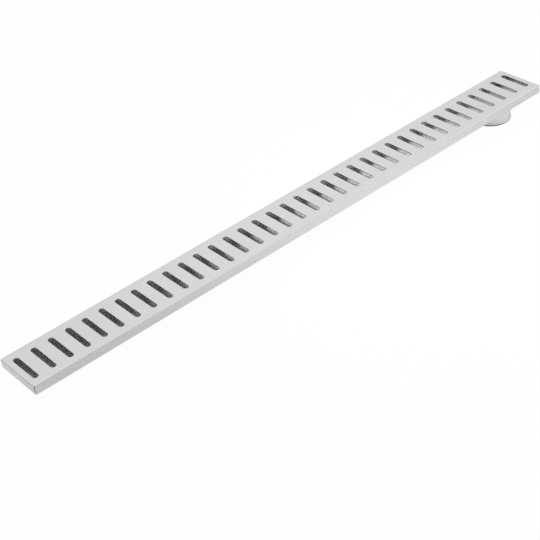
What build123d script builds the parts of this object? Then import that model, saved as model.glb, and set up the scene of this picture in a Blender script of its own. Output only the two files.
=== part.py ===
from build123d import *
import os

# Linear shower drain: a slotted cover, folded from one sheet, rests on the walls of a folded channel tray.
# The tray drains through a short spigot welded under its floor, near one end.
# Millimetres. X runs along the drain towards the outlet, Y across it and Z up. The origin lies under the
# middle of the drain, level with the spigot's lower end.

# Cover
cover_length = 900.0
cover_width = 75.0
cover_depth = 12.0      # top face to the lower edges of the skirts
cover_sheet = 1.2
corner_seam = 0.8       # open gap where two skirts meet
slot_count = 36
slot_length = 50.0
slot_width = 8.0
slot_margin = 12.5      # end of the cover to the middle of the first slot

# Tray
tray_sheet = 1.2
skirt_lift = 1.2        # the skirts end this far above the tray's underside
rim_clearance = 0.2     # tray walls to the start of the cover's folds

# Folds of both sheets
fold_inside = 0.5       # inside radius

# Outlet
outlet_inset = 66.5     # end of the cover to the outlet's axis
spigot_diameter = 58.0
spigot_wall = 1.2
spigot_reach = 23.5     # tray's underside to the spigot's lower end
lip_proud = 1.0         # lip round the lower end
lip_land = 1.2
lip_edge = 0.6          # bevel under the lip
weld_leg = 1.2          # fillet weld between spigot and tray

# Levels and places that follow from these sizes
slot_pitch = (cover_length - 2 * slot_margin) / (slot_count - 1)
tray_inset = cover_sheet + fold_inside + rim_clearance
tray_length = cover_length - 2 * tray_inset
tray_width = cover_width - 2 * tray_inset
tray_depth = cover_depth + skirt_lift - cover_sheet
tray_under = spigot_reach
cover_top = tray_under + tray_depth + cover_sheet
outlet_x = cover_length / 2 - outlet_inset
bore_radius = spigot_diameter / 2 - spigot_wall


def folded_block(length, width, height, bend):
    """Block under z = 0 whose four top edges are folds that meet in mitres at the corners."""

    def prism(plane, breadth, run):
        face = Rectangle(breadth, height, align=(Align.CENTER, Align.MAX))
        rounded = fillet(face.vertices().group_by(Axis.Y)[-1], bend)
        return extrude(plane * rounded, run / 2, both=True)

    return prism(Plane.YZ, width, length) & prism(Plane.XZ, length, width)


def folded_sheet(length, width, depth, sheet):
    """Shallow lid of one sheet, its top at z = 0 and its four sides folded down."""
    outside = folded_block(length, width, depth, fold_inside + sheet)
    inside = folded_block(length - 2 * sheet, width - 2 * sheet, depth, fold_inside)
    return outside - Pos(0, 0, -sheet) * inside


def make_cover():
    """Lid with a row of cross slots and an open seam down each corner, from the fold to the skirts' edges."""
    lid = folded_sheet(cover_length, cover_width, cover_depth, cover_sheet)
    slot = extrude(SlotOverall(slot_length, slot_width, rotation=90), cover_sheet, both=True)
    slots = [place * slot for place in GridLocations(slot_pitch, cover_width, slot_count, 1)]
    # Each seam is a slit on the corner's mitre that starts where the flat of the top ends.
    bend = fold_inside + cover_sheet
    slit = Box(2 * bend, corner_seam, cover_depth, align=(Align.MIN, Align.CENTER, Align.MAX))
    flat_corner = Pos(cover_length / 2 - bend, cover_width / 2 - bend, 0)
    seam = flat_corner * Rot(0, 0, 45) * slit
    end_seams = [seam, mirror(seam, about=Plane.XZ)]
    seams = end_seams + [mirror(one, about=Plane.YZ) for one in end_seams]
    return Pos(0, 0, cover_top) * (lid - slots - seams)


def make_tray():
    """Pan with closed corners and a round outlet through its floor."""
    pan = Pos(0, 0, tray_under) * Rot(180, 0, 0) * folded_sheet(tray_length, tray_width, tray_depth, tray_sheet)
    outlet = Pos(outlet_x, 0, tray_under) * Cylinder(bore_radius, 2 * tray_sheet)
    return pan - outlet


def make_spigot():
    """Tube with a lip round its lower end and a fillet weld round its upper end, turned about its axis."""
    tube_radius = spigot_diameter / 2
    lip_radius = tube_radius + lip_proud
    section = Polyline(
        (bore_radius, 0),
        (lip_radius - lip_edge, 0),
        (lip_radius, lip_edge),
        (lip_radius, lip_edge + lip_land),
        (tube_radius, lip_edge + lip_land + lip_proud),
        (tube_radius, spigot_reach - weld_leg),
        (tube_radius + weld_leg, spigot_reach),
        (bore_radius, spigot_reach),
        close=True,
    )
    return Pos(outlet_x, 0, 0) * revolve(Plane.XZ * make_face(section), Axis.Z)


pieces = {
    "slotted_cover": make_cover(),
    "channel_tray": make_tray(),
    "outlet_spigot": make_spigot(),
}
os.makedirs("parts", exist_ok=True)
for name, piece in pieces.items():
    piece.label = name
    export_step(piece, f"parts/{name}.step")
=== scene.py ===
import math

import bmesh
import bpy
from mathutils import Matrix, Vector


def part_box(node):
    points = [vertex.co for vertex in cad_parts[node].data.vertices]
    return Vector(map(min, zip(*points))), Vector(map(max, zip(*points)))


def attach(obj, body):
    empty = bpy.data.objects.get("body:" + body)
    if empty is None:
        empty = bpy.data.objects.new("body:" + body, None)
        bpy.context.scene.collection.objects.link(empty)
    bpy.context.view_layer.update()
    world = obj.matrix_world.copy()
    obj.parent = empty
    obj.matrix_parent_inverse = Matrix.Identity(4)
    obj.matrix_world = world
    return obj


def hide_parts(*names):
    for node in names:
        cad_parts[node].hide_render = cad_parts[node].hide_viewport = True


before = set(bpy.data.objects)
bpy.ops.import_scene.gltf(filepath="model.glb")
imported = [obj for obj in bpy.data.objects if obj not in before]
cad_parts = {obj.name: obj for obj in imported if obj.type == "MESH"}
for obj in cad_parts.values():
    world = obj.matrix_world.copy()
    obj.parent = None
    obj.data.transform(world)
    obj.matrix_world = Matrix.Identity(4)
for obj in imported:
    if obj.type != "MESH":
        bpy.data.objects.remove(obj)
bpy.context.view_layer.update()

MM = 0.001

# Cover
cover_low, cover_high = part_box("slotted_cover")
SHEET = 1.2 * MM
FOLD_INSIDE = 0.5 * MM
FOLD = FOLD_INSIDE + SHEET      # outside radius of every fold
CORNER_SEAM = 0.8 * MM
SLOT_COUNT = 36
SLOT_LENGTH = 50.0 * MM
SLOT_WIDTH = 8.0 * MM
SLOT_MARGIN = 12.5 * MM
RIM_LAND = 0.8 * MM             # ring of faces round each slot
PUNCHED_EDGE = 0.12 * MM        # rounding that the punch leaves on sheet edges

# Tray
tray_low, tray_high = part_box("channel_tray")

# Spigot
spigot_low, spigot_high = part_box("outlet_spigot")
OUTLET_X = (spigot_low.x + spigot_high.x) / 2
SPIGOT_RADIUS = 29.0 * MM
SPIGOT_WALL = 1.2 * MM
BORE = SPIGOT_RADIUS - SPIGOT_WALL
LIP_RADIUS = 30.0 * MM
LIP_BEVEL = 0.6 * MM
LIP_LAND = 1.2 * MM
TURNED_EDGE = 0.3 * MM          # rounding of the turned edges
SHADE_BAND_HEIGHT = 1.6 * MM             # height of the painted shade, a dark band along the lower end where the tube stands on the floor
SHADE_BAND_FADE = 0.4 * MM             # height over which that painted shade fades out

# Weld
WELD_LEG = 1.2 * MM
BEAD_RADIUS = 0.62 * WELD_LEG
BEAD_DROP = 0.35 * WELD_LEG     # middle of the bead, under the tray
BEAD_OUT = 0.28 * WELD_LEG      # middle of the bead, outside the tube
WELD_RIPPLES = 84
RIPPLE_DEPTH = 0.12 * MM

# Camera
VIEW_POINT = Vector((-914.6, -1132.1, 1011.3)) * MM
AIM_POINT = Vector((-119.7, -75.7, 36.7)) * MM
ROLL = math.radians(7.31)
LENS = 87.22

# Studio: a pale floor, soft light from several sides and two spots
FLOOR_SIZE = 60.0
FLOOR_GREY = (0.84, 0.84, 0.84, 1.0)
FLOOR_SEEN = 0.97               # share of plain white in what the camera sees of the floor
FLOOR_MIRRORED = 0.36           # the same in reflections
SOFT_LIGHT = [                  # direction, sharpness and strength
    ((-0.90, 0.00, 0.45), 4, 0.38),         # left
    ((-0.60, -0.55, 0.48), 8, 0.42),        # front left
    ((0.00, -0.90, 0.32), 8, 0.30),         # front
    ((-0.50, 0.72, 0.48), 6, 0.42),         # back left
    ((-0.15, 0.50, 0.85), 10, 1.25),        # above the back
    ((0.50, 0.68, 0.60), 12, 0.87),         # back right
    ((0.90, 0.00, 0.45), 4, 0.85),          # right
    ((0.65, -0.65, 0.45), 6, 0.85),         # front right
    ((0.52, -0.20, 0.83), 20, 0.40),        # above the right
    ((0.00, 0.00, 1.00), 4, 0.10),          # straight above
]
SPOTS = [                       # name, place, aim, radius, cone and watts
    ("pool_light", (-0.40, -0.85, 2.20), (0.16, -0.1, 0.0), 0.25, math.radians(22), 147.0),
    ("end_light", (-1.05, -0.20, 1.40), (-0.48, 0.05, 0.0), 0.10, math.radians(10), 27.0),
]

# Roundness of curved work, in faces
FOLD_STEPS = 6
SLOT_STEPS = 9
TUBE_STEPS = 144
RIPPLE_STEPS = 4
BEAD_STEPS = 14
TROUGH = 1.5 / RIPPLE_STEPS     # share of each weld ripple that is pressed in

NEAR = 0.01 * MM                # points closer than this are one point
SHARP = math.radians(50)        # edges of a sheet that turn more than this are cut edges
TUBE_SHARP = math.radians(30)   # the same for the turned tube
SMOOTH = math.radians(60)       # edges that turn less than this are shaded smooth
UV_UNIT = 0.5                   # metres to one unit of UV
SIDES = [Vector(side) for side in ((0, -1, 0), (1, 0, 0), (0, 1, 0), (-1, 0, 0))]


def begin(name, add, **how):
    """Adds one primitive as the start of a piece and opens it in edit mode."""
    bpy.ops.object.select_all(action="DESELECT")
    add(**how)
    piece = bpy.context.object
    piece.name = name
    piece.data.name = name
    bpy.ops.object.transform_apply(location=True, rotation=True, scale=True)
    bpy.ops.object.mode_set(mode="EDIT")
    bpy.ops.mesh.select_all(action="SELECT")
    return piece


def pick(kind, test):
    """In edit mode, selects the vertices or edges whose middle passes the test, and nothing else."""
    bpy.ops.mesh.select_mode(type={"verts": "VERT", "edges": "EDGE"}[kind])
    bpy.ops.mesh.select_all(action="DESELECT")
    data = bpy.context.edit_object.data
    mesh = bmesh.from_edit_mesh(data)
    for part in getattr(mesh, kind):
        if kind == "verts":
            middle = part.co
        else:
            corners = [corner.co for corner in part.verts]
            middle = sum(corners, Vector()) / len(corners)
        part.select_set(test(middle))
    mesh.select_flush(True)
    bmesh.update_edit_mesh(data)


def flatten_above(level):
    """In edit mode, lowers every point above the level onto it."""
    pick("verts", lambda place: place.z > level)
    bpy.ops.transform.resize(value=(1, 1, 0), center_override=(0, 0, level))


def finish_edit():
    """Merges doubled points and leaves edit mode."""
    bpy.ops.mesh.select_mode(type="VERT")
    bpy.ops.mesh.select_all(action="SELECT")
    bpy.ops.mesh.remove_doubles(threshold=NEAR)
    bpy.ops.object.mode_set(mode="OBJECT")


def face_outwards(piece, out):
    """Turns the faces of an open sheet so that its largest face looks along out."""
    bpy.ops.object.mode_set(mode="EDIT")
    bpy.ops.mesh.select_all(action="SELECT")
    bpy.ops.mesh.normals_make_consistent(inside=False)
    bpy.ops.object.mode_set(mode="OBJECT")
    largest = max(piece.data.polygons, key=lambda face: face.area)
    if largest.normal.dot(out) < 0:
        bpy.ops.object.mode_set(mode="EDIT")
        bpy.ops.mesh.flip_normals()
        bpy.ops.object.mode_set(mode="OBJECT")


def apply_modifier(piece, kind, **settings):
    """Adds a modifier, sets it and applies it to the mesh."""
    bpy.context.view_layer.objects.active = piece
    modifier = piece.modifiers.new(kind.lower(), kind)
    for name, value in settings.items():
        setattr(modifier, name, value)
    bpy.ops.object.modifier_apply(modifier=modifier.name)


def thicken(piece, out):
    """Gives an open sheet its thickness, behind the side that looks along out."""
    face_outwards(piece, out)
    apply_modifier(piece, "SOLIDIFY", thickness=SHEET, offset=-1.0, use_even_offset=True)


def round_edges(piece, edge):
    """Rounds the cut edges of a sheet."""
    apply_modifier(piece, "BEVEL", width=edge, segments=2, limit_method="ANGLE", angle_limit=SHARP)


def smooth(piece):
    """Shades the rounded edges smooth and keeps the flats flat."""
    bpy.ops.object.select_all(action="DESELECT")
    piece.select_set(True)
    bpy.context.view_layer.objects.active = piece
    bpy.ops.object.shade_smooth_by_angle(angle=SMOOTH)
    apply_modifier(piece, "WEIGHTED_NORMAL", mode="FACE_AREA", weight=50, keep_sharp=True)


def unroll(piece):
    """Adds the UV map "sheet": U runs with the rolled grain, which the end folds turn upright."""
    bpy.context.view_layer.objects.active = piece
    bpy.ops.object.mode_set(mode="EDIT")
    bpy.ops.mesh.select_all(action="SELECT")
    bpy.ops.uv.cube_project(cube_size=UV_UNIT, correct_aspect=False)
    bpy.ops.object.mode_set(mode="OBJECT")
    layer = piece.data.uv_layers.active
    layer.name = "sheet"
    for face in piece.data.polygons:
        if abs(face.normal.x) > max(abs(face.normal.y), abs(face.normal.z)):
            for corner in face.loop_indices:
                across, upright = layer.data[corner].uv
                layer.data[corner].uv = (upright, across)


def rounded_slot(width, length, middle):
    """Outline of one slot, added to the open mesh: a plane whose corners are rounded into half circles.

    The rounding stops just short of the middle, so that the points of two corners don't cross.
    """
    bpy.ops.mesh.primitive_plane_add(size=1.0, location=middle)
    bpy.ops.transform.resize(value=(width, length, 1.0))
    bpy.ops.mesh.bevel(offset=width / 2 * 0.9999, segments=SLOT_STEPS, affect="VERTICES")
    bpy.ops.mesh.remove_doubles(threshold=NEAR)
    bpy.ops.mesh.delete(type="ONLY_FACE")


def sheet_border(flat, level):
    """Outline of the flat of a sheet, added to the open mesh: it ends where the folds start."""
    bpy.ops.mesh.primitive_plane_add(size=1.0, location=(0, 0, level))
    bpy.ops.transform.resize(value=(2 * flat.x, 2 * flat.y, 1.0))
    bpy.ops.mesh.delete(type="ONLY_FACE")
    pick("edges", lambda place: abs(abs(place.y) - flat.y) < NEAR)
    bpy.ops.mesh.subdivide(number_cuts=SLOT_COUNT - 1)


def fold_side(side, flat, level, up, height, seam):
    """Folds one side of a flat sheet through a right angle and draws the flap's ends out to the mitre.

    side points out of the sheet, and flat holds the flat's half length and half width. level is the
    flat's height, up is 1 for a wall and -1 for a skirt, height is the whole depth and seam is the gap
    left at the corner.
    """
    rise = Vector((0, 0, up))
    along = Vector((abs(side.y), abs(side.x), 0))
    reach = abs(flat.dot(side))
    end = flat.dot(along)
    hinge = side * reach + Vector((0, 0, level)) + rise * FOLD

    def on_fold_line(place):
        return abs(place.dot(side) - reach) < NEAR and abs(place.z - level) < NEAR

    pick("edges", on_fold_line)
    bpy.ops.mesh.spin(steps=FOLD_STEPS, angle=math.pi / 2, center=hinge, axis=rise.cross(side))
    bpy.ops.mesh.extrude_edges_move(TRANSFORM_OT_translate={"value": rise * (height - FOLD)})
    for step in range(1, FOLD_STEPS + 1):
        out = FOLD * math.sin(math.pi / 2 * step / FOLD_STEPS)
        for way in (1, -1):
            pick("verts", lambda place: abs(place.dot(side) - reach - out) < NEAR
                 and abs(place.dot(along) - way * end) < NEAR)
            bpy.ops.transform.translate(value=along * way * (out - seam * math.sqrt(0.5)))


def open_seams(flat, seam):
    """In edit mode, cuts the skirts' inner corners back to their mitres, so that each seam runs through."""
    gap = seam * math.sqrt(0.5)
    for side in SIDES:
        along = Vector((abs(side.y), abs(side.x), 0))
        reach = abs(flat.dot(side))
        end = flat.dot(along)
        for step in range(1, FOLD_STEPS + 1):
            turn = math.sin(math.pi / 2 * step / FOLD_STEPS)
            for way in (1, -1):

                def past_mitre(place):
                    out = place.dot(side) - reach
                    beyond = place.dot(along) * way - end
                    return abs(beyond - FOLD * turn + gap) < NEAR and NEAR < out < beyond + gap - NEAR

                pick("verts", past_mitre)
                bpy.ops.transform.translate(value=along * way * -SHEET * turn)


def model_cover():
    """Cover sheet: a row of punched slots, four folded skirts and an open seam down each corner."""
    top = cover_high.z
    half_length, half_width = cover_high.x, cover_high.y
    flat = Vector((half_length - FOLD, half_width - FOLD, 0))
    pitch = 2 * (half_length - SLOT_MARGIN) / (SLOT_COUNT - 1)
    first = Vector((SLOT_MARGIN - half_length, 0, top))

    # One slot with a ring of faces round it
    cover = begin("cover_sheet", bpy.ops.mesh.primitive_plane_add, size=1.0, location=first)
    bpy.ops.mesh.delete(type="VERT")
    rounded_slot(SLOT_WIDTH, SLOT_LENGTH, first)
    rounded_slot(SLOT_WIDTH + 2 * RIM_LAND, SLOT_LENGTH + 2 * RIM_LAND, first)
    bpy.ops.mesh.select_all(action="SELECT")
    bpy.ops.mesh.bridge_edge_loops()
    bpy.ops.object.mode_set(mode="OBJECT")
    apply_modifier(cover, "ARRAY", count=SLOT_COUNT, use_relative_offset=False, use_constant_offset=True,
                   constant_offset_displace=(pitch, 0, 0))

    # The flat of the sheet between the rings and the fold lines
    bpy.ops.object.mode_set(mode="EDIT")
    sheet_border(flat, top)
    straight = (SLOT_LENGTH - SLOT_WIDTH) / 2

    def outside_rims(place):
        along = (place.x - first.x) / pitch
        across = place.x - first.x - pitch * min(max(round(along), 0), SLOT_COUNT - 1)
        beyond = max(abs(place.y) - straight, 0)
        return math.hypot(across, beyond) > SLOT_WIDTH / 2 + RIM_LAND / 2

    pick("verts", outside_rims)
    bpy.ops.mesh.fill(use_beauty=True)
    for side in SIDES:
        fold_side(side, flat, top, -1, top - cover_low.z, CORNER_SEAM)
    finish_edit()
    thicken(cover, Vector((0, 0, 1)))
    bpy.ops.object.mode_set(mode="EDIT")
    open_seams(flat, CORNER_SEAM)
    bpy.ops.object.mode_set(mode="OBJECT")
    round_edges(cover, PUNCHED_EDGE)
    bpy.ops.object.mode_set(mode="EDIT")
    flatten_above(top)
    bpy.ops.object.mode_set(mode="OBJECT")
    return cover


def model_tray():
    """Channel pan: a floor with the outlet cut through it and four walls folded up to closed corners."""
    floor = tray_low.z
    flat = Vector((tray_high.x - FOLD, tray_high.y - FOLD, 0))
    tray = begin("tray_pan", bpy.ops.mesh.primitive_circle_add, vertices=TUBE_STEPS, radius=BORE,
                 fill_type="NOTHING", location=(OUTLET_X, 0, floor))
    sheet_border(flat, floor)
    bpy.ops.mesh.select_all(action="SELECT")
    bpy.ops.mesh.fill(use_beauty=True)
    for side in SIDES:
        fold_side(side, flat, floor, 1, tray_high.z - floor, 0.0)
    finish_edit()
    thicken(tray, Vector((0, 0, -1)))
    round_edges(tray, PUNCHED_EDGE)
    return tray


def model_spigot():
    """Outlet tube, turned: its section is taken round in order, each point a ring about the axis."""
    neck = LIP_BEVEL + LIP_LAND + LIP_RADIUS - SPIGOT_RADIUS
    section = [
        (BORE, 0.0),
        (LIP_RADIUS - LIP_BEVEL, 0.0),
        (LIP_RADIUS, LIP_BEVEL),
        (LIP_RADIUS, LIP_BEVEL + LIP_LAND),
        (SPIGOT_RADIUS, neck),
        (SPIGOT_RADIUS, spigot_high.z),
        (BORE, spigot_high.z),
        (BORE, 0.0),
    ]
    radius, height = section[0]
    spigot = begin("spigot_tube", bpy.ops.mesh.primitive_circle_add, vertices=TUBE_STEPS, radius=radius,
                   fill_type="NOTHING", location=(OUTLET_X, 0, height))
    for wide, high in section[1:]:
        bpy.ops.mesh.extrude_edges_move(TRANSFORM_OT_translate={"value": (0, 0, high - height)})
        wider = wide / radius
        bpy.ops.transform.resize(value=(wider, wider, 1), center_override=(OUTLET_X, 0, high))
        radius, height = wide, high
    finish_edit()
    bpy.ops.object.mode_set(mode="EDIT")
    bpy.ops.mesh.normals_make_consistent(inside=False)
    bpy.ops.object.mode_set(mode="OBJECT")
    apply_modifier(spigot, "BEVEL", width=TURNED_EDGE, segments=3, limit_method="ANGLE",
                   angle_limit=TUBE_SHARP)
    return spigot


def model_weld():
    """Weld bead in the corner between spigot and tray, with the ripples of one pass round."""
    middle = Vector((OUTLET_X, 0, tray_low.z - BEAD_DROP))
    weld = begin("outlet_weld", bpy.ops.mesh.primitive_torus_add, location=middle,
                 major_segments=WELD_RIPPLES * RIPPLE_STEPS, minor_segments=BEAD_STEPS,
                 major_radius=SPIGOT_RADIUS + BEAD_OUT, minor_radius=BEAD_RADIUS)

    def in_trough(place):
        turn = math.atan2(place.y, place.x - OUTLET_X) / (2 * math.pi) * WELD_RIPPLES
        crescent = 0.5 * ((place.z - middle.z) / BEAD_RADIUS) ** 2
        return (turn + crescent) % 1.0 < TROUGH

    pick("verts", in_trough)
    bpy.ops.transform.shrink_fatten(value=-RIPPLE_DEPTH)
    flatten_above(tray_low.z)
    finish_edit()
    return weld


def new_finish(name):
    """Material with its node tree and its Principled shader, set up as bare metal."""
    finish = bpy.data.materials.new(name)
    finish.use_nodes = True
    shader = finish.node_tree.nodes["Principled BSDF"]
    shader.inputs["Metallic"].default_value = 1.0
    return finish, finish.node_tree, shader


def add_node(tree, kind, inputs=None, **settings):
    """Adds a node with its settings and the values of its inputs."""
    made = tree.nodes.new(kind)
    for name, value in settings.items():
        setattr(made, name, value)
    for name, value in (inputs or {}).items():
        made.inputs[name].default_value = value
    return made


def calculate(tree, operation, *values):
    """Adds a node of the given operation, each of whose values is a number or the output of a node."""
    made = add_node(tree, "ShaderNodeMath", operation=operation)
    for socket, value in zip(made.inputs, values):
        if isinstance(value, bpy.types.NodeSocket):
            tree.links.new(value, socket)
        else:
            socket.default_value = value
    return made.outputs["Value"]


def noise(tree, place, scale, detail):
    """Noise on the given coordinates, stretched by a different scale along each of them."""
    mapping = add_node(tree, "ShaderNodeMapping", {"Scale": scale})
    tree.links.new(place, mapping.inputs["Vector"])
    cloud = add_node(tree, "ShaderNodeTexNoise", {"Scale": 1.0, "Detail": detail, "Roughness": 0.55})
    tree.links.new(mapping.outputs["Vector"], cloud.inputs["Vector"])
    return cloud.outputs["Fac"]


def spread(tree, value, low, high):
    """Brings noise, which keeps mostly between 0.3 and 0.7, to the range from low to high."""
    ends = {"From Min": 0.3, "From Max": 0.7, "To Min": low, "To Max": high}
    ranged = add_node(tree, "ShaderNodeMapRange", ends)
    tree.links.new(value, ranged.inputs["Value"])
    return ranged.outputs["Result"]


def paint(tree, shader, value, dark, light):
    """Colours the metal from dark to light grey as the value goes from 0 to 1."""
    ramp = add_node(tree, "ShaderNodeMix", data_type="RGBA")
    ramp.inputs["A"].default_value = (*dark, 1.0)
    ramp.inputs["B"].default_value = (*light, 1.0)
    tree.links.new(value, ramp.inputs["Factor"])
    tree.links.new(ramp.outputs["Result"], shader.inputs["Base Color"])


def relief(tree, shader, value, height):
    """Raises the surface by the value times the height, as bump."""
    bump = add_node(tree, "ShaderNodeBump", {"Strength": 1.0, "Distance": height})
    tree.links.new(value, bump.inputs["Height"])
    tree.links.new(bump.outputs["Normal"], shader.inputs["Normal"])


def brushed_sheet():
    """Satin stainless sheet: long hairlines with the grain over faint clouds."""
    finish, tree, shader = new_finish("brushed_sheet")
    shader.inputs["Anisotropic"].default_value = 0.4
    shader.inputs["Anisotropic Rotation"].default_value = 0.25
    sheet = add_node(tree, "ShaderNodeUVMap", uv_map="sheet").outputs["UV"]
    tangent = add_node(tree, "ShaderNodeTangent", direction_type="UV_MAP", uv_map="sheet")
    tree.links.new(tangent.outputs["Tangent"], shader.inputs["Tangent"])
    hairlines = noise(tree, sheet, (9.0, 1900.0, 1.0), 3.0)
    clouds = noise(tree, sheet, (14.0, 40.0, 1.0), 2.0)
    paint(tree, shader, spread(tree, clouds, 0.0, 1.0), (0.690, 0.691, 0.693), (0.714, 0.715, 0.716))
    tree.links.new(spread(tree, hairlines, 0.30, 0.38), shader.inputs["Roughness"])
    relief(tree, shader, hairlines, 0.004 * MM)
    return finish


def rolled_sheet():
    """Cold-rolled stainless sheet: hazy, with rolling streaks between bright and dull over faint clouds."""
    finish, tree, shader = new_finish("rolled_sheet")
    sheet = add_node(tree, "ShaderNodeUVMap", uv_map="sheet").outputs["UV"]
    streaks = noise(tree, sheet, (6.0, 900.0, 1.0), 3.0)
    clouds = noise(tree, sheet, (10.0, 25.0, 1.0), 2.0)
    paint(tree, shader, spread(tree, clouds, 0.0, 1.0), (0.800, 0.801, 0.803), (0.830, 0.831, 0.833))
    tree.links.new(spread(tree, streaks, 0.10, 0.58), shader.inputs["Roughness"])
    relief(tree, shader, streaks, 0.002 * MM)
    return finish


def turned_tube():
    """Turned stainless tube: fine tool rings round its axis, and painted shade, a dark band along its lower
    end where it stands on the floor.
    """
    finish, tree, shader = new_finish("turned_tube")
    place = add_node(tree, "ShaderNodeTexCoord").outputs["Object"]
    rings = noise(tree, place, (3.0, 3.0, 2600.0), 2.0)
    height = add_node(tree, "ShaderNodeSeparateXYZ")
    tree.links.new(place, height.inputs["Vector"])
    ends = {"From Min": SHADE_BAND_HEIGHT, "From Max": SHADE_BAND_HEIGHT + SHADE_BAND_FADE}
    above_shade_band = add_node(tree, "ShaderNodeMapRange", ends)
    tree.links.new(height.outputs["Z"], above_shade_band.inputs["Value"])
    # the dark grey below the band's top is painted shade where the tube meets the floor; above it is the
    # tube's own light grey
    paint(tree, shader, above_shade_band.outputs["Result"], (0.200, 0.200, 0.202), (0.820, 0.821, 0.823))
    tree.links.new(spread(tree, rings, 0.52, 0.62), shader.inputs["Roughness"])
    relief(tree, shader, rings, 0.006 * MM)
    return finish


def weld_metal():
    """Weld bead cleaned to a dull satin, with a fine grain and faint heat clouds."""
    finish, tree, shader = new_finish("weld_metal")
    place = add_node(tree, "ShaderNodeTexCoord").outputs["Object"]
    grain = noise(tree, place, (3000.0, 3000.0, 3000.0), 3.0)
    clouds = noise(tree, place, (140.0, 140.0, 140.0), 2.0)
    paint(tree, shader, spread(tree, clouds, 0.0, 1.0), (0.47, 0.465, 0.46), (0.58, 0.578, 0.575))
    tree.links.new(spread(tree, grain, 0.36, 0.50), shader.inputs["Roughness"])
    relief(tree, shader, grain, 0.010 * MM)
    return finish


def dress(piece, finish, node=None):
    """Smooths a finished piece, gives it its metal and its body, and hides the solid that it stands for."""
    smooth(piece)
    piece.data.materials.clear()
    piece.data.materials.append(finish)
    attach(piece, "root")
    if node:
        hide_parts(node)


def make_floor():
    """Pale floor that keeps the soft shadow of the drain."""
    bpy.ops.object.select_all(action="DESELECT")
    bpy.ops.mesh.primitive_plane_add(size=FLOOR_SIZE)
    floor = bpy.context.object
    floor.name = "studio_floor"
    finish = bpy.data.materials.new("studio_white")
    finish.use_nodes = True
    tree = finish.node_tree
    shader = tree.nodes["Principled BSDF"]
    shader.inputs["Base Color"].default_value = FLOOR_GREY
    shader.inputs["Roughness"].default_value = 0.9
    white = add_node(tree, "ShaderNodeEmission", {"Strength": 1.0})
    rays = add_node(tree, "ShaderNodeLightPath").outputs
    mirrored = calculate(tree, "MAXIMUM", rays["Is Glossy Ray"], rays["Is Transmission Ray"])
    dimmed = calculate(tree, "MULTIPLY", mirrored, FLOOR_MIRRORED)
    share = calculate(tree, "MULTIPLY_ADD", rays["Is Camera Ray"], FLOOR_SEEN, dimmed)
    mix = add_node(tree, "ShaderNodeMixShader")
    tree.links.new(share, mix.inputs[0])
    tree.links.new(shader.outputs["BSDF"], mix.inputs[1])
    tree.links.new(white.outputs["Emission"], mix.inputs[2])
    tree.links.new(mix.outputs["Shader"], tree.nodes["Material Output"].inputs["Surface"])
    floor.data.materials.append(finish)


def make_surround():
    """Soft light from several sides: broad lobes, each strongest along its own direction."""
    world = bpy.data.worlds.new("surround")
    world.use_nodes = True
    tree = world.node_tree
    direction = add_node(tree, "ShaderNodeTexCoord").outputs["Generated"]
    total = 0.0
    for axis, sharpness, strength in SOFT_LIGHT:
        facing = add_node(tree, "ShaderNodeVectorMath", operation="DOT_PRODUCT")
        facing.inputs[1].default_value = Vector(axis).normalized()
        tree.links.new(direction, facing.inputs[0])
        front = calculate(tree, "MAXIMUM", facing.outputs["Value"], 0.0)
        lobe = calculate(tree, "POWER", front, sharpness)
        total = calculate(tree, "MULTIPLY_ADD", lobe, strength, total)
    background = tree.nodes["Background"]
    background.inputs["Color"].default_value = (1.0, 1.0, 1.0, 1.0)
    tree.links.new(total, background.inputs["Strength"])
    bpy.context.scene.world = world


def make_spot(name, place, aim, radius, angle, power):
    """Soft-edged spot light at a place, turned to its aim."""
    data = bpy.data.lights.new(name, "SPOT")
    data.shadow_soft_size = radius
    data.spot_size = angle
    data.spot_blend = 1.0
    data.energy = power
    lamp = bpy.data.objects.new(name, data)
    bpy.context.scene.collection.objects.link(lamp)
    lamp.location = place
    lamp.rotation_euler = (Vector(aim) - Vector(place)).to_track_quat("-Z", "Y").to_euler()


def make_camera():
    """Camera at the photograph's view of the drain."""
    data = bpy.data.cameras.new("camera")
    data.lens = LENS
    data.sensor_width = 36.0
    data.clip_end = 100.0
    camera = bpy.data.objects.new("camera", data)
    bpy.context.scene.collection.objects.link(camera)
    camera.location = VIEW_POINT
    camera.rotation_euler = (AIM_POINT - VIEW_POINT).to_track_quat("-Z", "Y").to_euler()
    camera.rotation_euler.rotate_axis("Z", -ROLL)
    bpy.context.scene.camera = camera


cover = model_cover()
unroll(cover)
dress(cover, brushed_sheet(), "slotted_cover")

tray = model_tray()
unroll(tray)
dress(tray, rolled_sheet(), "channel_tray")

spigot = model_spigot()
dress(spigot, turned_tube(), "outlet_spigot")

weld = model_weld()
dress(weld, weld_metal())

make_floor()
make_surround()
for spot in SPOTS:
    make_spot(*spot)
make_camera()
bpy.context.scene.view_settings.view_transform = "Standard"
